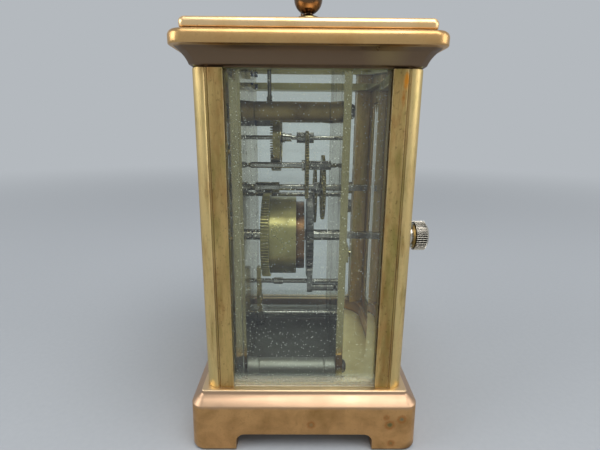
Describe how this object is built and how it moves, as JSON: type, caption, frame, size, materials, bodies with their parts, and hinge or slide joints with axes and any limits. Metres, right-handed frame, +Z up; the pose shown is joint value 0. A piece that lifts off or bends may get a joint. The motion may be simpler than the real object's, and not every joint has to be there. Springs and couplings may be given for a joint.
{
  "type": "carriage clock",
  "caption": "Glazed brass carriage clock: bevelled glass case on feet, hinged back door, folding bail handle, visible geared movement with lever platform, enamel dial.",
  "frame": {"origin": "on the ground, under the middle of the clock's bounding box with the handle up; the case itself is 1.38 mm nearer the dial, because the door knob stands out behind", "axes": "+X to the right of someone who faces the back door's inside from the dial side (the right of the dial), -Y out of the dial, +Y out of the back door, +Z up"},
  "size_m": [0.0892, 0.0794, 0.1764],
  "materials": {
    "case_brass": "aged gilt brass, rubbed to copper on the edges",
    "pillar_brass": "aged olive brass",
    "movement_brass": "brushed, unlacquered brass",
    "wheel_brass": "turned and crossed-out brass",
    "steel": "polished steel",
    "dark_steel": "dull dark steel",
    "blued_steel": "heat-blued steel",
    "knob_steel": "worn nickel plate, knurled",
    "glass": "clear bevelled plate glass",
    "enamel": "white fired enamel",
    "mask_gilt": "matt gilt brass",
    "cap_bronze": "brown tarnished brass"
  },
  "bodies": {
    "root": {"base_moulding": "case_brass", "floor_plate": "movement_brass", "pillar_front_left": "pillar_brass", "pillar_front_right": "pillar_brass", "pillar_rear_left": "pillar_brass", "pillar_rear_right": "pillar_brass", "cornice": "case_brass", "top_plate": "case_brass", "top_glass": "glass", "front_glass": "glass", "side_glass_left": "glass", "side_glass_right": "glass", "hinge_pins": "pillar_brass", "handle_posts": "case_brass", "case_screws": "dark_steel", "front_plate": "movement_brass", "back_plate": "movement_brass", "movement_pillars": "movement_brass", "plate_screws": "dark_steel", "dial": "enamel", "dial_mask": "mask_gilt", "barrel_cock": "movement_brass", "potence": "dark_steel", "platform": "movement_brass", "platform_screws": "blued_steel", "hairspring": "blued_steel", "platform_cocks": "movement_brass"},
    "door": {"door_frame": "pillar_brass", "door_glass": "glass"},
    "knob": {"door_knob": "knob_steel", "door_latch": "pillar_brass"},
    "handle": {"handle_bail": "case_brass"},
    "centre": {"centre_arbor": "steel", "centre_wheel": "wheel_brass", "cannon_pinion": "steel", "minute_hand": "blued_steel"},
    "minute_wheel_body": {"minute_wheel": "wheel_brass"},
    "hour": {"hour_wheel": "wheel_brass", "hour_hand": "blued_steel"},
    "barrel_body": {"barrel": "movement_brass", "barrel_cap": "cap_bronze", "mainspring": "dark_steel"},
    "winding": {"barrel_arbor": "steel", "ratchet_wheel": "dark_steel"},
    "click_body": {"click": "dark_steel"},
    "intermediate": {"intermediate_arbor": "steel", "intermediate_wheel": "wheel_brass"},
    "third": {"third_arbor": "steel", "third_wheel": "wheel_brass"},
    "contrate": {"contrate_arbor": "steel", "contrate_wheel": "wheel_brass"},
    "escape": {"escape_arbor": "steel", "escape_wheel": "wheel_brass"},
    "lever": {"pallet_lever": "steel"},
    "balance": {"balance_staff": "steel", "balance_wheel": "wheel_brass"},
    "regulator_body": {"regulator": "blued_steel"},
    "lifting": {"lifting_arbor": "steel", "lifting_arm": "wheel_brass"},
    "cross": {"cross_arbor": "steel"}
  },
  "joints": [
    {"name": "door_hinge", "type": "hinge", "parent": "root", "child": "door", "pos_m": [-0.02835, 0.03018, 0.072], "axis": [0, 0, 1], "range_deg": [0, 95]},
    {"name": "knob_turn", "type": "hinge", "parent": "door", "child": "knob", "pos_m": [0.02715, 0.03018, 0.0712], "axis": [0, 1, 0], "range_deg": [-90, 0]},
    {"name": "handle_fold", "type": "hinge", "parent": "root", "child": "handle", "pos_m": [0, -0.00137, 0.1425], "axis": [1, 0, 0], "range_deg": [-90, 90]},
    {"name": "minute_hand_turn", "type": "hinge", "parent": "root", "child": "centre", "pos_m": [0, -0.00137, 0.0835], "axis": [0, 1, 0], "continuous": true},
    {"name": "minute_wheel_turn", "type": "hinge", "parent": "root", "child": "minute_wheel_body", "pos_m": [0.00672, -0.00137, 0.0835], "axis": [0, 1, 0], "continuous": true},
    {"name": "hour_hand_turn", "type": "hinge", "parent": "root", "child": "hour", "pos_m": [0, -0.00137, 0.0835], "axis": [0, 1, 0], "continuous": true},
    {"name": "barrel_turn", "type": "hinge", "parent": "root", "child": "barrel_body", "pos_m": [0, -0.00137, 0.0641], "axis": [0, 1, 0], "continuous": true},
    {"name": "winding_turn", "type": "hinge", "parent": "root", "child": "winding", "pos_m": [0, -0.00137, 0.0641], "axis": [0, 1, 0], "continuous": true},
    {"name": "click_swing", "type": "hinge", "parent": "root", "child": "click_body", "pos_m": [0.0134, -0.00137, 0.0469], "axis": [0, 1, 0], "range_deg": [0, 10]},
    {"name": "intermediate_turn", "type": "hinge", "parent": "root", "child": "intermediate", "pos_m": [-0.01295, -0.00137, 0.07855], "axis": [0, 1, 0], "continuous": true},
    {"name": "third_turn", "type": "hinge", "parent": "root", "child": "third", "pos_m": [0.0101, -0.00137, 0.09312], "axis": [0, 1, 0], "continuous": true},
    {"name": "contrate_turn", "type": "hinge", "parent": "root", "child": "contrate", "pos_m": [0, -0.00137, 0.1027], "axis": [0, 1, 0], "continuous": true},
    {"name": "escape_turn", "type": "hinge", "parent": "root", "child": "escape", "pos_m": [0, -0.01482, 0.12], "axis": [0, 0, 1], "continuous": true},
    {"name": "lever_swing", "type": "hinge", "parent": "root", "child": "lever", "pos_m": [0.0064, -0.01482, 0.126], "axis": [0, 0, 1], "range_deg": [-4, 4]},
    {"name": "balance_swing", "type": "hinge", "parent": "root", "child": "balance", "pos_m": [0.0144, -0.01482, 0.128], "axis": [0, 0, 1], "range_deg": [-135, 135]},
    {"name": "regulator_swing", "type": "hinge", "parent": "root", "child": "regulator_body", "pos_m": [0.0144, -0.01482, 0.13], "axis": [0, 0, 1], "range_deg": [-20, 20]},
    {"name": "lifting_arm_swing", "type": "hinge", "parent": "root", "child": "lifting", "pos_m": [0, -0.00137, 0.0297], "axis": [0, 1, 0], "range_deg": [-6, 6]},
    {"name": "cross_arbor_turn", "type": "hinge", "parent": "root", "child": "cross", "pos_m": [-0.008, -0.00137, 0.0409], "axis": [0, 1, 0], "continuous": true}
  ],
  "couplings": [
    {"joint": "minute_wheel_turn", "follows": "minute_hand_turn", "ratio": -0.33333},
    {"joint": "hour_hand_turn", "follows": "minute_hand_turn", "ratio": 0.083333},
    {"joint": "intermediate_turn", "follows": "minute_hand_turn", "ratio": -0.16667},
    {"joint": "barrel_turn", "follows": "minute_hand_turn", "ratio": 0.027778},
    {"joint": "third_turn", "follows": "minute_hand_turn", "ratio": -8},
    {"joint": "contrate_turn", "follows": "minute_hand_turn", "ratio": 50},
    {"joint": "escape_turn", "follows": "minute_hand_turn", "ratio": -600}
  ]
}
